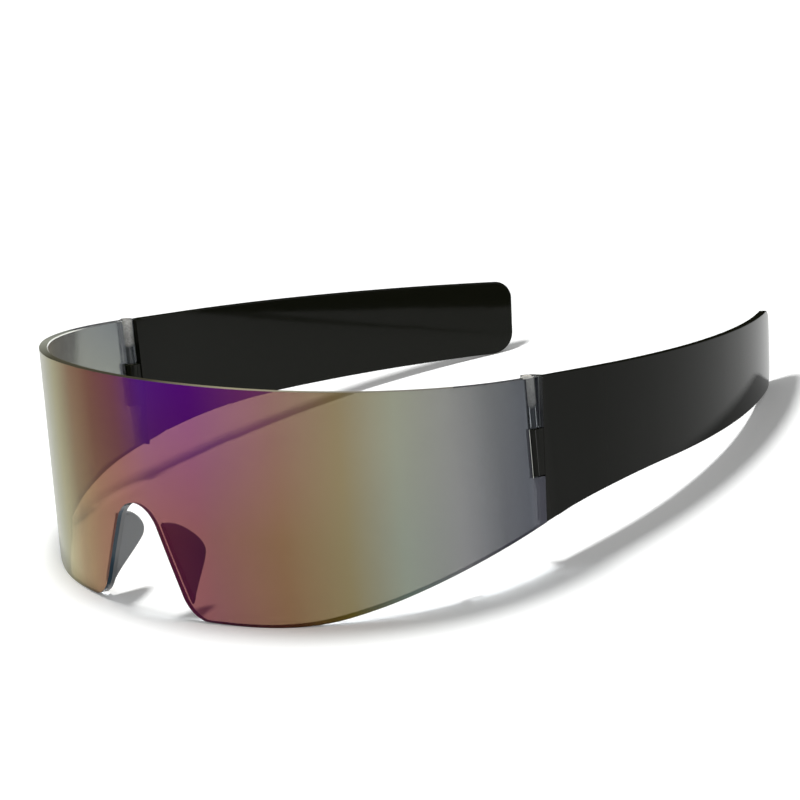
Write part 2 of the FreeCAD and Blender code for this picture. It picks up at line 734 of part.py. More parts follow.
def pad_place():
    """Pad's own -Z along the flank and its +Y backwards, turned out by the flare."""
    top = wall_middle(value("notch_top") + value("pad_drop"))
    reach = value("pad_height") * math.cos(math.radians(value("notch_flare")))
    bottom = wall_middle(value("notch_top") + value("pad_drop") + reach)
    up = (top - bottom).normalize()
    back = Vector(0, 1, 0) - up * up.y
    out = back.normalize().cross(up)
    upright = Rotation(out, back, up, "ZYX")
    return Placement(top, upright * Rotation(Vector(0, 0, 1), -value("pad_flare")))


def on_outline(edge):
    """Outline edges of the two faces of the pad, without the edge that meets the lens."""
    box = edge.BoundBox
    return box.XLength < value("pad_edge") / 2 and box.YMax > value("lens_wall") / 2


pad_blank = new_body("nose_pad_blank")
plain_pad = pad(pad_blank, pad_outline(pad_blank), "pad_plate", "sizes.pad_wall", False)
fillet(pad_blank, plain_pad, "pad_edges", "sizes.pad_edge", on_outline)
doc.recompute()


# The glasses stand on the lobes of the lens and on the temple tips: the tilt that brings both down
def lowest(points, tilt):
    return min(point.z * math.cos(tilt) - point.y * math.sin(tilt) for point in points)


lens_points = lens.Shape.tessellate(value("foot_spacing"))[0]
temple_points = temple.Shape.tessellate(value("foot_spacing"))[0]
low = 0
high = math.pi / 4
halvings = 30
for halving in range(halvings):
    tilt = (low + high) / 2
    if lowest(temple_points, tilt) > lowest(lens_points, tilt):
        low = tilt
    else:
        high = tilt
turn_down = Rotation(Vector(1, 0, 0), -math.degrees(tilt))
turned = [turn_down * point for point in lens_points + temple_points]
middle = (min(point.y for point in turned) + max(point.y for point in turned)) / 2
stand = Placement(Vector(0, -middle, -min(point.z for point in turned)), turn_down)
for body in (lens, screw, temple):
    body.Placement = stand
pad_blank.Placement = stand * pad_place()

nose_pad = doc.addObject("Part::Cut", "nose_pad_left")
nose_pad.Base = pad_blank
nose_pad.Tool = lens


def mirrored(source, name):
    copy = doc.addObject("Part::Mirroring", name)
    copy.Source = source
    copy.Normal = Vector(1, 0, 0)
    return copy


parts = [
    lens,
    temple,
    mirrored(temple, "temple_right"),
    screw,
    mirrored(screw, "hinge_screw_right"),
    nose_pad,
    mirrored(nose_pad, "nose_pad_right"),
]
doc.recompute()

for item in doc.Objects:
    if "Invalid" in item.State or "Error" in item.State:
        raise RuntimeError("%s could not be built" % item.Label)
for item in parts:
    if item.Shape.isNull() or not item.Shape.isValid() or len(item.Shape.Solids) != 1:
        raise RuntimeError("%s is not one sound solid" % item.Label)
os.makedirs("parts", exist_ok=True)
for item in parts:
    item.Shape.exportStep("parts/%s.step" % item.Label)
    print("%-18s %9.2f mm3" % (item.Label, item.Shape.Volume))
print("tilt %.3f degrees, pin at %s" % (math.degrees(tilt), stand * Vector(value("pin_x"), value("pin_y"), 0)))
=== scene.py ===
import bmesh
import bpy
import math
from mathutils import Matrix, Vector


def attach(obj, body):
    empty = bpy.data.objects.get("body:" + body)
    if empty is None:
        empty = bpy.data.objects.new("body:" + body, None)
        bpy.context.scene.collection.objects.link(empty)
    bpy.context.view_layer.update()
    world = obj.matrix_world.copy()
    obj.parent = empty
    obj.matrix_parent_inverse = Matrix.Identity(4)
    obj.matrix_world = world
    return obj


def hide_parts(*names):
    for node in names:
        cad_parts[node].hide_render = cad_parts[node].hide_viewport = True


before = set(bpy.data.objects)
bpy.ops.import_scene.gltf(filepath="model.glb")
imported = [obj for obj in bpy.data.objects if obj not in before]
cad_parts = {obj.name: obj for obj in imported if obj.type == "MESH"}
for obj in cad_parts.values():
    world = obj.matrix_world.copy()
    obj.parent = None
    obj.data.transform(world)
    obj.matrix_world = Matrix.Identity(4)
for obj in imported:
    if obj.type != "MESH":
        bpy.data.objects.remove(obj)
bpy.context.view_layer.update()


def linearFromHex(code):
    channels = [int(code[at:at + 2], 16) / 255 for at in (1, 3, 5)]
    linear = [c / 12.92 if c <= 0.04045 else ((c + 0.055) / 1.055) ** 2.4 for c in channels]
    return (*linear, 1.0)


def newMaterial(name):
    material = bpy.data.materials.new(name)
    material.use_nodes = True
    material.node_tree.nodes.clear()
    return material


# each input is a value or another node's output
def addNode(owner, kind, inputs=None, settings=None):
    tree = owner.node_tree
    node = tree.nodes.new(kind)
    for name, value in (settings or {}).items():
        setattr(node, name, value)
    for name, value in (inputs or {}).items():
        socket = node.inputs[name]
        if isinstance(value, bpy.types.NodeSocket):
            tree.links.new(value, socket)
        else:
            socket.default_value = value
    return node


def fillRamp(ramp, stops):
    elements = ramp.color_ramp.elements
    while len(elements) > len(stops):
        elements.remove(elements[-1])
    while len(elements) < len(stops):
        elements.new(1.0)
    for element, (place, code) in zip(elements, stops):
        element.position = place
        element.color = linearFromHex(code)
    return ramp.outputs[0]


# wanders from the lowest to the highest value over patches of this many metres
def fineNoise(material, patch, lowest, highest):
    place = addNode(material, "ShaderNodeTexCoord")
    noise = addNode(material, "ShaderNodeTexNoise",
                    {"Vector": place.outputs["Object"], "Scale": 1 / patch, "Detail": 3.0})
    spread = addNode(material, "ShaderNodeMapRange",  # nearly all of the noise lies within 0.3 to 0.7
                     {"Value": noise.outputs[0], "From Min": 0.3, "From Max": 0.7,
                      "To Min": lowest, "To Max": highest})
    return spread.outputs[0]


# goes from the first value to the last between two places along an axis
def alongAxis(material, axis, limits, values=(0.0, 1.0)):
    place = addNode(material, "ShaderNodeTexCoord")
    split = addNode(material, "ShaderNodeSeparateXYZ", {"Vector": place.outputs["Object"]})
    share = addNode(material, "ShaderNodeMapRange",
                    {"Value": split.outputs[axis], "From Min": limits[0], "From Max": limits[1],
                     "To Min": values[0], "To Max": values[1]})
    return share.outputs[0]


# 1 for the rays that show the surroundings, 0 for those that only bring light
def seenDirectly(owner):
    path = addNode(owner, "ShaderNodeLightPath")
    seen = path.outputs["Is Camera Ray"]
    for ray in ("Is Glossy Ray", "Is Transmission Ray"):
        both = addNode(owner, "ShaderNodeMath", {0: seen, 1: path.outputs[ray]}, {"operation": "MAXIMUM"})
        seen = both.outputs[0]
    return seen


print("frame loaded")

# the camera stands at the photograph's angle
cameraSettings = {
    "place": Vector((0.51600, -0.38844, 0.22381)),
    "right": Vector((0.641474, 0.737095, -0.212609)),
    "up": Vector((-0.101319, 0.356118, 0.928932)),
    "lens": 136.1,
    "sensor": 36.0,
    "nearest": 0.01,
    "farthest": 50,
}
camera = bpy.data.objects.new("camera", bpy.data.cameras.new("camera"))
camera.data.lens = cameraSettings["lens"]
camera.data.sensor_width = cameraSettings["sensor"]
camera.data.sensor_fit = "HORIZONTAL"
camera.data.clip_start = cameraSettings["nearest"]
camera.data.clip_end = cameraSettings["farthest"]
back = cameraSettings["right"].cross(cameraSettings["up"])
turn = Matrix((cameraSettings["right"], cameraSettings["up"], back)).transposed().to_4x4()
camera.matrix_world = Matrix.Translation(cameraSettings["place"]) @ turn
bpy.context.scene.collection.objects.link(camera)
bpy.context.scene.camera = camera
bpy.context.scene.view_settings.view_transform = "Standard"

# white surroundings, and one soft lamp high up towards the wearer's right
studio = {
    "skyLevel": 0.31,
    "lampPower": 4.8,
    "lampRadius": 0.036,
    "lampPlace": Vector((-0.034, 0.004, 0.36)),
    "floorColor": "#F9FAF9",
    "floorReach": 6.0,
    "floorLift": 0.12,  # glow of the paper below the sunglasses, low so the shadow stays
    "farLift": 0.80,
    "liftFrom": 0.13,
    "liftTo": 0.60,
}
white = (1, 1, 1, 1)
world = bpy.data.worlds.new("whiteStudio")
bpy.context.scene.world = world
world.use_nodes = True
world.node_tree.nodes.clear()
level = addNode(world, "ShaderNodeMapRange",
                {"Value": seenDirectly(world), "To Min": studio["skyLevel"], "To Max": 1.0})
sky = addNode(world, "ShaderNodeBackground", {"Color": white, "Strength": level.outputs[0]})
addNode(world, "ShaderNodeOutputWorld", {"Surface": sky.outputs[0]})

lamp = bpy.data.objects.new("softLamp", bpy.data.lights.new("softLamp", "POINT"))
lamp.data.energy = studio["lampPower"]
lamp.data.shadow_soft_size = studio["lampRadius"]
lamp.location = studio["lampPlace"]
bpy.context.scene.collection.objects.link(lamp)

floorMesh = bmesh.new()
bmesh.ops.create_grid(floorMesh, x_segments=1, y_segments=1, size=studio["floorReach"])
floorData = bpy.data.meshes.new("floor")
floorMesh.to_mesh(floorData)
floorMesh.free()
floor = bpy.data.objects.new("floor", floorData)
bpy.context.scene.collection.objects.link(floor)
# matt, so the shadow alone tells where the sunglasses stand
paper = newMaterial("matt white table paper")
place = addNode(paper, "ShaderNodeTexCoord")
reach = addNode(paper, "ShaderNodeVectorMath", {0: place.outputs["Object"]}, {"operation": "LENGTH"})
lift = addNode(paper, "ShaderNodeMapRange",
               {"Value": reach.outputs["Value"],
                "From Min": studio["liftFrom"], "From Max": studio["liftTo"],
                "To Min": studio["floorLift"], "To Max": studio["farLift"]})
strength = addNode(paper, "ShaderNodeMath", {0: seenDirectly(paper), 1: lift.outputs[0]},
                   {"operation": "MULTIPLY"})
glow = addNode(paper, "ShaderNodeEmission", {"Color": white, "Strength": strength.outputs[0]})
matt = addNode(paper, "ShaderNodeBsdfDiffuse", {"Color": linearFromHex(studio["floorColor"])})
both = addNode(paper, "ShaderNodeAddShader", {0: matt.outputs[0], 1: glow.outputs[0]})
addNode(paper, "ShaderNodeOutputMaterial", {"Surface": both.outputs[0]})
floorData.materials.append(paper)
print("camera, lamp and floor made")

# shield lens: smoke polycarbonate sheet with a vacuum-deposited mirror film on its front
lens = {
    # shape of the sheet: three arcs in plan, leaned and then tilted onto its feet
    "wall": 0.002,
    "frontRadius": 0.11977,
    "cheekRadius": 0.067,
    "sideRadius": 0.0417,
    "cheekStart": math.radians(15.2),
    "sideStart": math.radians(40.6),
    "lean": math.radians(2.9),
    "tilt": math.radians(12.987),
    "topPoint": Vector((0, -0.06826424, 0.04994725)),
    "chamfer": 0.00022,
    # where its faces change, in metres from the middle
    "middleReach": 0.004,
    "leastArea": 1e-7,
    "notchReach": 0.03,
    "wallReach": 0.066,
    "endStart": 0.0675,
    "slotWallStart": 0.0685,
    "endFaceStart": 0.069,
    "lipStart": 0.0695,
    "endFaceDepth": -0.0235,
    # how a face has to look to count, as an angle from its neighbour or as a cosine to a direction
    "smoothBelow": math.radians(25),
    "seedFacing": 0.7,
    "sheetFacing": 0.998,
    "topFacing": 0.999,
    "innerFacing": 0.9,
    "endFacing": 0.95,
    "slotWallFacing": 0.3,
    # light
    "index": 1.58,
    "sheetTint": "#F2F4F6",
    "glossColor": "#545A62",
    "glossShare": 0.14,
    "filmShare": 0.60,
    "endShare": 0.22,
    "lowEndShare": 0.85,
    "endShareBand": (0.929, 0.932),  # places along the ramps
    "lowEndBand": (0.0142, 0.0150),  # heights, at the slot's bottom
    # heights where the painted reflection goes over from the high ramp to the low one
    "lowStart": 0.044,
    "lowEnd": 0.006,
    "uprightTurn": math.radians(10.09),
    "turnCentre": -0.012,
    # places along the ramps: turn about an upright line behind the nose, 0.5 straight ahead
    # the high ramp carries a painted reflection of the bright surroundings, bluer; the low one a painted
    # reflection of the table
    "mirrorHighPaintedReflection": [
        (0.08, "#7C8088"), (0.20, "#96988C"), (0.29, "#BCBC9C"), (0.34, "#A8A272"),
        (0.385, "#8C6038"), (0.43, "#6C241C"), (0.48, "#620848"), (0.53, "#54048C"),
        (0.60, "#5C0488"), (0.68, "#783472"), (0.76, "#705A34"), (0.81, "#7C7E6A"),
        (0.85, "#7C7C78"), (0.89, "#565656"), (0.94, "#44474C"),
    ],
    "mirrorLowPaintedReflection": [
        (0.29, "#B8B898"), (0.34, "#A4A070"), (0.38, "#746038"), (0.43, "#643C28"),
        (0.55, "#541232"), (0.62, "#3C0C34"), (0.70, "#542A20"), (0.76, "#605420"),
        (0.81, "#6A7870"), (0.86, "#727276"), (0.90, "#484850"),
    ],
    "tint": [
        (0.08, "#7E8084"), (0.20, "#948E82"), (0.40, "#B89468"), (0.50, "#CC9080"),
        (0.60, "#CA887E"), (0.70, "#B49870"), (0.81, "#B0AE9C"), (0.87, "#9A9A98"),
        (0.929, "#6A6E74"), (0.932, "#A6AAAE"),
    ],
    # light that reaches the floor: little passes the silvery sides
    "passed": [
        (0.08, "#202020"), (0.20, "#484848"), (0.32, "#A89888"), (0.70, "#B09084"),
        (0.84, "#484848"), (0.94, "#202020"),
    ],
    # the cut edges' colour with a painted glow, from one side of the lens to the other
    "edgeReach": (-0.072, 0.072),
    "paintedEdgeGlowStops": [
        (0.0, "#5A5E58"), (0.1, "#7A7C72"), (0.25, "#3E3C30"), (0.55, "#38342A"),
        (0.72, "#86806A"), (0.95, "#6E6C64"),
    ],
    "paintedShadeEdgeColor": "#14100E",
    "oversprayColor": "#16303E",
    "chamferReach": (-0.0695, -0.060),
    "chamferHighlightStops": [(0.0, "#4C4E4E"), (0.12, "#5A5C5C"), (0.35, "#E4E6DE"), (1.0, "#E4E6DE")],
}
# hinge: the screw's line, and what the lens has round it
hinge = {
    "pin": Vector((0.07025, -0.0193902, 0.0386754)),
    "line": Vector((0, 0.156181, 0.987729)),
    "boreRadius": 0.00101,
    "setback": 0.00268,
    "slotTop": 0.0104,  # depths below the lens's top
    "slotBottom": 0.0204,
    "slotReach": 0.00205,
    "slotWallSetback": 0.001,
    "lipWidth": 0.00012,
    "boreHeights": (0.024, 0.040),
    "borePaintedLightStops": [(0.0, "#303436"), (0.52, "#34383A"), (0.58, "#B8B6B0"), (1.0, "#D4D0C8")],
    "mottleColor": "#5A5C5C",
    "boreTint": "#C8C8C8",
    "boreShare": 0.8,
    "boreRoughness": 0.25,
    # painted glow of the bore walls, weaker on the far side and stronger on the near side
    "paintedGlowReach": (-0.07, 0.07),
    "glow": (0.3, 0.9),
}
topNormal = Vector((0, math.sin(lens["tilt"]), math.cos(lens["tilt"])))
acrossPin = Vector((0, hinge["line"].z, -hinge["line"].y))
# cosines: a face looks towards a direction, or is square to it
towards = 0.5
square = 0.99
sharpAngle = math.radians(30)
flatAngle = math.radians(0.1)
mergeDistance = 1e-7


# all faces reached from the seed without crossing an edge sharper than the limit
def smoothRegion(seed, limit):
    reached = {seed}
    waiting = [seed]
    while waiting:
        for edge in waiting.pop().edges:
            if len(edge.link_faces) == 2 and edge.calc_face_angle(0) < limit:
                for face in edge.link_faces:
                    if face not in reached:
                        reached.add(face)
                        waiting.append(face)
    return reached


def copyOfNode(name):
    mesh = bmesh.new()
    mesh.from_mesh(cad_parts[name].data)
    bmesh.ops.remove_doubles(mesh, verts=mesh.verts, dist=mergeDistance)
    return mesh


def joinFlatFaces(mesh):
    bmesh.ops.dissolve_limit(mesh, angle_limit=flatAngle, verts=mesh.verts, edges=mesh.edges,
                             delimit={"MATERIAL"})


# the bent sheet's own normal at a point of its front or its inner side
def sheetNormal(point, inner):
    across = abs(point.x)
    wall = lens["wall"] if inner else 0
    cheekSine = math.sin(lens["cheekStart"])
    sideSine = math.sin(lens["sideStart"])
    cheek = (lens["frontRadius"] - wall) * cheekSine
    side = cheek + (lens["cheekRadius"] - wall) * (sideSine - cheekSine)
    sine = across / (lens["frontRadius"] - wall)
    if across > side:
        sine = sideSine + (across - side) / (lens["sideRadius"] - wall)
    elif across > cheek:
        sine = cheekSine + (across - cheek) / (lens["cheekRadius"] - wall)
    bend = math.asin(min(sine, 1))
    normal = Vector((math.copysign(math.sin(bend), point.x), -math.cos(bend),
                     -math.cos(bend) * math.tan(lens["lean"])))
    normal = (Matrix.Rotation(-lens["tilt"], 3, "X") @ normal).normalized()
    return -normal if inner else normal


# the bends of the lens take the sheet's own normals, so what shows through isn't broken up by the facets
def finishPiece(mesh, name, node, body, finishes, sheetFinishes=()):
    data = bpy.data.meshes.new(name)
    for face in mesh.faces:
        face.smooth = True
    mesh.to_mesh(data)
    mesh.free()
    for finish in finishes:
        data.materials.append(finish)
    data.set_sharp_from_angle(angle=sharpAngle)
    if sheetFinishes:
        normals = [(0, 0, 0)] * len(data.loops)
        for polygon in data.polygons:
            inner = polygon.normal.dot(sheetNormal(polygon.center, False)) < 0
            onSheet = polygon.normal.dot(sheetNormal(polygon.center, inner)) > lens["sheetFacing"]
            if onSheet and finishes[polygon.material_index] in sheetFinishes:
                for corner in polygon.loop_indices:
                    point = data.vertices[data.loops[corner].vertex_index].co
                    normals[corner] = sheetNormal(point, inner)
        data.normals_split_custom_set(normals)
    piece = bpy.data.objects.new(name, data)
    bpy.context.scene.collection.objects.link(piece)
    if not sheetFinishes:
        shade = piece.modifiers.new("evenShading", "WEIGHTED_NORMAL")
        shade.keep_sharp = True
    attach(piece, body)
    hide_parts(node)
    return piece


# bends what lies behind it, while shadows only take the colour of the light that passes
def bentView(material, tint, passed):
    bent = addNode(material, "ShaderNodeBsdfRefraction",
                   {"Color": tint, "Roughness": 0.0, "IOR": lens["index"]})
    straight = addNode(material, "ShaderNodeBsdfTransparent", {"Color": passed})
    path = addNode(material, "ShaderNodeLightPath")
    view = addNode(material, "ShaderNodeMixShader",
                   {0: path.outputs["Is Shadow Ray"], 1: bent.outputs[0], 2: straight.outputs[0]})
    return view.outputs[0]


# the film's colour follows the sheet's bend, as a thin film's does: violet ahead, gold, then silver; its
# change from top to bottom is a painted reflection
film = newMaterial("vacuum-deposited mirror film on polycarbonate")
place = addNode(film, "ShaderNodeTexCoord")
upright = addNode(film, "ShaderNodeMapping",
                  {"Vector": place.outputs["Object"], "Rotation": (lens["uprightTurn"], 0, 0)})
split = addNode(film, "ShaderNodeSeparateXYZ", {"Vector": upright.outputs[0]})
depth = addNode(film, "ShaderNodeMath", {0: lens["turnCentre"], 1: split.outputs["Y"]},
                {"operation": "SUBTRACT"})
around = addNode(film, "ShaderNodeMath", {0: split.outputs["X"], 1: depth.outputs[0]},
                 {"operation": "ARCTAN2"})
along = addNode(film, "ShaderNodeMapRange",
                {"Value": around.outputs[0], "From Min": -math.pi / 2, "From Max": math.pi / 2})
ramps = {}
for stopsName in ("mirrorHighPaintedReflection", "mirrorLowPaintedReflection", "tint", "passed"):
    ramp = addNode(film, "ShaderNodeValToRGB", {"Fac": along.outputs[0]})
    ramps[stopsName] = fillRamp(ramp, lens[stopsName])
# painted reflection: the film's colour goes from the high ramp to the low one between these heights
low = addNode(film, "ShaderNodeMapRange",
              {"Value": split.outputs["Z"], "From Min": lens["lowStart"], "From Max": lens["lowEnd"]})
filmToneWithPaintedReflection = addNode(film, "ShaderNodeMix",  # a colour mix: its share is socket 0, its colours are 6 and 7
               {0: low.outputs[0], 6: ramps["mirrorHighPaintedReflection"], 7: ramps["mirrorLowPaintedReflection"]}, {"data_type": "RGBA"})
mirror = addNode(film, "ShaderNodeBsdfPrincipled",
                 {"Base Color": filmToneWithPaintedReflection.outputs[2], "Metallic": 1.0,
                  "Roughness": fineNoise(film, patch=0.012, lowest=0.115, highest=0.125)})
endShare = addNode(film, "ShaderNodeMapRange",
                   {"Value": split.outputs["Z"],
                    "From Min": lens["lowEndBand"][0], "From Max": lens["lowEndBand"][1],
                    "To Min": lens["lowEndShare"], "To Max": lens["endShare"]})
share = addNode(film, "ShaderNodeMapRange",
                {"Value": along.outputs[0],
                 "From Min": lens["endShareBand"][0], "From Max": lens["endShareBand"][1],
                 "To Min": lens["filmShare"], "To Max": endShare.outputs[0]})
filmMix = addNode(film, "ShaderNodeMixShader",
                  {0: share.outputs[0], 1: bentView(film, ramps["tint"], ramps["passed"]),
                   2: mirror.outputs[0]})
addNode(film, "ShaderNodeOutputMaterial", {"Surface": filmMix.outputs[0]})

# clear and glossy, so the bores and corners inside the sheet show shifted through it
clearSheet = newMaterial("polished smoke polycarbonate")
sheetTint = linearFromHex(lens["sheetTint"])
gloss = addNode(clearSheet, "ShaderNodeBsdfPrincipled",
                {"Base Color": linearFromHex(lens["glossColor"]), "IOR": lens["index"],
                 "Roughness": fineNoise(clearSheet, patch=0.006, lowest=0.055, highest=0.065)})
sheetMix = addNode(clearSheet, "ShaderNodeMixShader",
                   {0: lens["glossShare"], 1: bentView(clearSheet, sheetTint, sheetTint),
                    2: gloss.outputs[0]})
addNode(clearSheet, "ShaderNodeOutputMaterial", {"Surface": sheetMix.outputs[0]})

# dull, with a painted glow of the sheet, stronger towards the near end
cutEdge = newMaterial("die-cut polycarbonate edge")
paintedEdgeGlowRamp = addNode(cutEdge, "ShaderNodeValToRGB", {"Fac": alongAxis(cutEdge, "X", lens["edgeReach"])})
edgeShader = addNode(cutEdge, "ShaderNodeBsdfPrincipled",
                     {"Base Color": fillRamp(paintedEdgeGlowRamp, lens["paintedEdgeGlowStops"]), "Specular IOR Level": 0.0,
                      "Roughness": fineNoise(cutEdge, patch=0.0003, lowest=0.35, highest=0.5)})
addNode(cutEdge, "ShaderNodeOutputMaterial", {"Surface": edgeShader.outputs[0]})

# painted shade: the cut edges that face the table, and the slot's front wall, are painted near black,
# closing the lens with a dark line
shadedEdge = newMaterial("die-cut lower edge in painted shade")
shadedEdgeShader = addNode(shadedEdge, "ShaderNodeBsdfPrincipled",
                     {"Base Color": linearFromHex(lens["paintedShadeEdgeColor"]), "Specular IOR Level": 0.1,
                      "Roughness": fineNoise(shadedEdge, patch=0.0003, lowest=0.25, highest=0.4)})
addNode(shadedEdge, "ShaderNodeOutputMaterial", {"Surface": shadedEdgeShader.outputs[0]})

# painted highlight: the broken corner is painted as a bright line where it would catch the lamp, fading
# past the far bend
paintedHighlightChamfer = newMaterial("polycarbonate corner with painted highlight")
paintedHighlightRamp = addNode(paintedHighlightChamfer, "ShaderNodeValToRGB",
                  {"Fac": alongAxis(paintedHighlightChamfer, "X", lens["chamferReach"])})
paintedHighlightShader = addNode(paintedHighlightChamfer, "ShaderNodeBsdfPrincipled",
                    {"Base Color": fillRamp(paintedHighlightRamp, lens["chamferHighlightStops"]), "IOR": lens["index"],
                     "Roughness": fineNoise(paintedHighlightChamfer, patch=0.0004, lowest=0.12, highest=0.2)})
addNode(paintedHighlightChamfer, "ShaderNodeOutputMaterial", {"Surface": paintedHighlightShader.outputs[0]})

# the film wraps a little round the cut and shows blue from the side
tealEdge = newMaterial("die-cut edge with film overspray")
tealShader = addNode(tealEdge, "ShaderNodeBsdfPrincipled",
                     {"Base Color": linearFromHex(lens["oversprayColor"]), "Specular IOR Level": 0.3,
                      "Roughness": fineNoise(tealEdge, patch=0.0004, lowest=0.1, highest=0.18)})
addNode(tealEdge, "ShaderNodeOutputMaterial", {"Surface": tealShader.outputs[0]})

# painted light: bright above, where the screw head sits, as if lit through the bore, and darker round the
# shank below it
boreWall = newMaterial("polycarbonate bore with painted light")
borePaintedLightRamp = addNode(boreWall, "ShaderNodeValToRGB", {"Fac": alongAxis(boreWall, "Z", hinge["boreHeights"])})
mottled = addNode(boreWall, "ShaderNodeMix",
                  {0: fineNoise(boreWall, patch=0.0004, lowest=0.55, highest=1.0),
                   6: linearFromHex(hinge["mottleColor"]), 7: fillRamp(borePaintedLightRamp, hinge["borePaintedLightStops"])},
                  {"data_type": "RGBA"})
# painted glow: the bore wall emits light that stands in for scattered light, more towards the near side
boreGlowShader = addNode(boreWall, "ShaderNodeBsdfPrincipled",  # glows a little, as scattered light does there
                     {"Base Color": mottled.outputs[2], "Emission Color": mottled.outputs[2],
                      "Emission Strength": alongAxis(boreWall, "X", hinge["paintedGlowReach"], hinge["glow"]),
                      "Roughness": hinge["boreRoughness"], "IOR": lens["index"]})
boreThrough = addNode(boreWall, "ShaderNodeBsdfTransparent", {"Color": linearFromHex(hinge["boreTint"])})
boreMix = addNode(boreWall, "ShaderNodeMixShader",
                  {0: hinge["boreShare"], 1: boreThrough.outputs[0], 2: boreGlowShader.outputs[0]})
addNode(boreWall, "ShaderNodeOutputMaterial", {"Surface": boreMix.outputs[0]})

pad = {
    "tint": "#8E9094",
    "glossColor": "#7E8082",
    "glossShare": 0.65,
    "index": 1.55,
    "longWithin": 0.0002,  # edges this much shorter than the longest are cut too
    "cuts": 7,
    "belly": 0.4,  # the swelling as a share of the pad's depth
    "lowness": 1.3,  # above 1 brings the fullest point down
    "narrowness": 1.5,
}
# half clear, so the pad reads as a grey tab with the lens behind it showing through
padClear = newMaterial("smoke-clear moulded nose pad")
through = addNode(padClear, "ShaderNodeBsdfTransparent", {"Color": linearFromHex(pad["tint"])})
gloss = addNode(padClear, "ShaderNodeBsdfPrincipled",
                {"Base Color": linearFromHex(pad["glossColor"]), "IOR": pad["index"],
                 "Roughness": fineNoise(padClear, patch=0.0012, lowest=0.04, highest=0.08)})
padMix = addNode(padClear, "ShaderNodeMixShader",
                 {0: pad["glossShare"], 1: through.outputs[0], 2: gloss.outputs[0]})
addNode(padClear, "ShaderNodeOutputMaterial", {"Surface": padMix.outputs[0]})
lensFinishes = [film, clearSheet, cutEdge, paintedHighlightChamfer, tealEdge, boreWall, padClear, shadedEdge]


def dress(face, finish):
    face.material_index = lensFinishes.index(finish)


def isDressed(face, finish):
    return face.material_index == lensFinishes.index(finish)


# cuts the faces along a plane and gives them all back
def cut(mesh, faces, point, normal):
    geometry = list(dict.fromkeys(item for face in faces for item in (*face.verts, *face.edges, face)))
    result = bmesh.ops.bisect_plane(mesh, geom=geometry, plane_co=point, plane_no=normal,
                                    dist=mergeDistance)
    mesh.normal_update()
    return [item for item in result["geom"] if isinstance(item, bmesh.types.BMFace)]


# distance from the nearer screw's line
def offPin(point):
    arm = Vector((abs(point.x), point.y, point.z)) - hinge["pin"]
    return (arm - arm.dot(hinge["line"]) * hinge["line"]).length


def belowTop(point):
    return (lens["topPoint"] - point).dot(topNormal)


def besideSlot(point):
    return hinge["slotTop"] < belowTop(point) < hinge["slotBottom"]


# faces and points of the sheet's front and back
def sheetFaces(mesh):
    middle = [f for f in mesh.faces
              if abs(f.calc_center_median().x) < lens["middleReach"] and f.calc_area() > lens["leastArea"]]
    frontSeed = min((f for f in middle if f.normal.y < -lens["seedFacing"]),
                    key=lambda f: f.calc_center_median().y)
    backSeed = max((f for f in middle if f.normal.y > lens["seedFacing"]), key=lambda f: f.calc_area())
    front, back = (smoothRegion(seed, lens["smoothBelow"]) for seed in (frontSeed, backSeed))
    return front, back, {v for f in front for v in f.verts}, {v for f in back for v in f.verts}


# the lens's rim is split along its middle: the half towards the face is clear, the other shows the cut
mesh = copyOfNode("shield_lens")
frontFaces, backFaces, frontPoints, backPoints = sheetFaces(mesh)
across = [e for e in mesh.edges if abs(e.verts[0].co.x) < lens["wallReach"]
          and (e.verts[0] in frontPoints) != (e.verts[1] in frontPoints)
          and (e.verts[0] in backPoints) != (e.verts[1] in backPoints)]
bmesh.ops.subdivide_edges(mesh, edges=across, cuts=1)
mesh.normal_update()
frontFaces, backFaces, frontPoints, backPoints = sheetFaces(mesh)
print("lens faces", len(mesh.faces), "front", len(frontFaces), "back", len(backFaces),
      "split across the wall", len(across))
for face in mesh.faces:
    centre = face.calc_center_median()
    inBore = (max(offPin(v.co) for v in face.verts) < hinge["boreRadius"]
              and abs(face.normal.dot(hinge["line"])) < towards)
    farNotch = -lens["notchReach"] < centre.x < 0 and face.normal.x > towards
    atFront = any(v in frontPoints for v in face.verts)
    if face in frontFaces:
        dress(face, film)
    elif face in backFaces or abs(centre.x) > lens["endStart"]:
        dress(face, boreWall if inBore else clearSheet)
    elif face.normal.dot(topNormal) < square and not atFront:
        dress(face, padClear if farNotch else clearSheet)
    elif farNotch:
        dress(face, tealEdge)
    else:
        # one cut edge in two copies: facing up it keeps its colour, facing down it gets the painted shade
        dress(face, cutEdge if face.normal.dot(topNormal) > towards else shadedEdge)
# the slot's outer lip is a narrow strip on the front with the painted highlight
for side in (-1, 1):
    lip = [f for f in mesh.faces
           if isDressed(f, film) and side * f.calc_center_median().x > lens["lipStart"]]
    edgeLine = hinge["pin"] - acrossPin * (hinge["slotReach"] + hinge["lipWidth"])
    lip = cut(mesh, lip, edgeLine, acrossPin)
    for depth in (hinge["slotTop"], hinge["slotBottom"]):
        lip = cut(mesh, lip, lens["topPoint"] - topNormal * depth, topNormal)
    for face in lip:
        centre = face.calc_center_median()
        ahead = (hinge["pin"] - centre).dot(acrossPin) - hinge["slotReach"]
        if 0 < ahead < hinge["lipWidth"] and besideSlot(centre):
            dress(face, paintedHighlightChamfer)
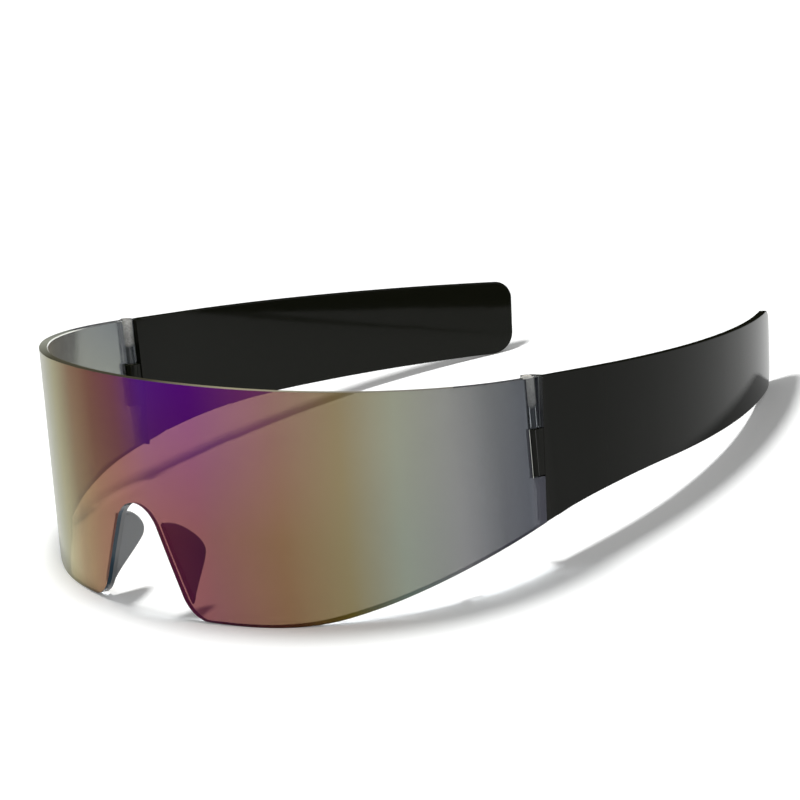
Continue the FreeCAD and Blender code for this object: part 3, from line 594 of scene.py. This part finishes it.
# the ends are cut edges, and the slot's front wall gets the painted shade
for face in mesh.faces:
    centre = face.calc_center_median()
    slotWall = (abs(centre.x) > lens["slotWallStart"] and face.normal.y > lens["slotWallFacing"]
                and face not in backFaces and besideSlot(centre)
                and centre.y < hinge["pin"].y - hinge["slotWallSetback"])
    endFace = (abs(centre.x) > lens["endFaceStart"] and centre.y > lens["endFaceDepth"]
               and face.normal.y > lens["endFacing"] and not isDressed(face, boreWall)
               and offPin(centre) > hinge["boreRadius"])
    if slotWall:
        dress(face, shadedEdge)
    elif endFace:
        dress(face, cutEdge)
# the inner top corner, and the inner corner of each end above the slot, are broken and get the painted
# highlight
innerEdges = []
for edge in mesh.edges:
    faces = edge.link_faces
    if len(faces) != 2:
        continue
    middle = (edge.verts[0].co + edge.verts[1].co) / 2
    topEdge = (any(f in backFaces for f in faces)
               and any(f.normal.dot(topNormal) > lens["topFacing"] for f in faces))
    endEdge = (any(isDressed(f, cutEdge) and f.normal.y > lens["endFacing"] for f in faces)
               and any(f.normal.x * middle.x < -lens["innerFacing"] * abs(middle.x) for f in faces)
               and belowTop(middle) < hinge["slotTop"])
    if topEdge or endEdge:
        innerEdges.append(edge)
corner = bmesh.ops.bevel(mesh, geom=innerEdges, offset=lens["chamfer"], offset_type="OFFSET", segments=1,
                         profile=0.5, affect="EDGES", material=-1)
for face in corner["faces"]:
    dress(face, paintedHighlightChamfer)
print("inner edges bevelled", len(innerEdges))
joinFlatFaces(mesh)
finishPiece(mesh, "shieldLens", "shield_lens", "front", lensFinishes, (film, clearSheet))
print("lens made")

# temples: glossy black moulded plastic, edges rounded by the mould
temple = {
    "color": "#11120C",
    "reflection": 0.12,
    "index": 1.5,
    "outerStart": 0.0715,
    "sunk": 0.0009,  # width of the sunk band behind the lens's end
    "step": 0.0003,
    "sink": 0.00014,
    "edge": 0.0003,
    "edgeStart": 0.0026,  # behind the pin
}
# deep gloss with barely uneven shine, so the white surroundings show only at a slant
black = newMaterial("polished black moulded plastic")
blackShader = addNode(black, "ShaderNodeBsdfPrincipled",
                      {"Base Color": linearFromHex(temple["color"]), "IOR": temple["index"],
                       "Specular IOR Level": temple["reflection"],
                       "Roughness": fineNoise(black, patch=0.003, lowest=0.04, highest=0.06)})
addNode(black, "ShaderNodeOutputMaterial", {"Surface": blackShader.outputs[0]})
# no shine on the narrow top faces, which stay a dark line above the gloss
edgeBlack = newMaterial("black plastic edge dulled by the mould's parting line")
dullShader = addNode(edgeBlack, "ShaderNodeBsdfPrincipled",
                     {"Base Color": linearFromHex(temple["color"]), "Specular IOR Level": 0.0,
                      "Roughness": fineNoise(edgeBlack, patch=0.0005, lowest=0.45, highest=0.6)})
addNode(edgeBlack, "ShaderNodeOutputMaterial", {"Surface": dullShader.outputs[0]})


def behindHinge(point):
    return (point - hinge["pin"]).dot(acrossPin) - hinge["setback"]


for side in ("left", "right"):
    mesh = copyOfNode("temple_" + side)
    joinFlatFaces(mesh)
    outer = []
    for face in mesh.faces:
        centre = face.calc_center_median()
        if face.normal.x * centre.x > square * abs(centre.x) and abs(centre.x) > temple["outerStart"]:
            outer.append(face)
    for reach in (temple["sunk"], temple["sunk"] + temple["step"]):
        outer = cut(mesh, outer, hinge["pin"] + acrossPin * (hinge["setback"] + reach), acrossPin)
    for point in {v for f in outer for v in f.verts}:
        if behindHinge(point.co) < temple["sunk"] + temple["step"] / 2:
            point.co.x -= math.copysign(temple["sink"], point.co.x)
    sharpEdges = [e for e in mesh.edges
                  if len(e.link_faces) == 2 and e.calc_face_angle(0) > sharpAngle
                  and min(v.co.y for v in e.verts) > hinge["pin"].y + temple["edgeStart"]]
    bmesh.ops.bevel(mesh, geom=sharpEdges, offset=temple["edge"], offset_type="OFFSET", segments=2,
                    profile=0.5, affect="EDGES", material=-1)
    mesh.normal_update()
    for face in mesh.faces:
        face.material_index = 1 if face.normal.dot(topNormal) > towards else 0
    finishPiece(mesh, side + "Temple", "temple_" + side, side + "_temple", [black, edgeBlack])
print("temples made")

screw = {
    "color": "#A59C90",
}
# a warm grey metal that only shows as a soft light core inside the clear barrel
steel = newMaterial("zinc-plated steel screw")
steelShader = addNode(steel, "ShaderNodeBsdfPrincipled",
                      {"Base Color": linearFromHex(screw["color"]), "Metallic": 1.0,
                       "Roughness": fineNoise(steel, patch=0.0002, lowest=0.28, highest=0.42)})
addNode(steel, "ShaderNodeOutputMaterial", {"Surface": steelShader.outputs[0]})
for side in ("left", "right"):
    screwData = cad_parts["hinge_screw_" + side].data
    screwData.materials.clear()
    screwData.materials.append(steel)
print("screws dressed")

# the pads are fullest about mid-height, on the side away from the lens
for side in ("left", "right"):
    mesh = copyOfNode("nose_pad_" + side)
    joinFlatFaces(mesh)
    longest = max(e.calc_length() for e in mesh.edges)
    longEdges = [e for e in mesh.edges if e.calc_length() > longest - pad["longWithin"]]
    bmesh.ops.subdivide_edges(mesh, edges=longEdges, cuts=pad["cuts"])
    flat = max(mesh.faces, key=lambda f: f.calc_area()).normal
    top = max((v.co for v in mesh.verts), key=lambda c: c.z).copy()
    tip = min((v.co for v in mesh.verts), key=lambda c: c.z).copy()
    outward = flat.cross(tip - top).normalized()
    outward *= math.copysign(1, outward.y)
    for point in mesh.verts:
        share = min(max((top.z - point.co.z) / (top.z - tip.z), 0), 1)
        reach = max((point.co - top).dot(outward), 0)
        swell = math.sin(math.pi * share ** pad["lowness"]) ** pad["narrowness"]
        point.co += outward * reach * pad["belly"] * swell
    mesh.normal_update()
    finishPiece(mesh, side + "NosePad", "nose_pad_" + side, "front", [padClear])
print("pads made")
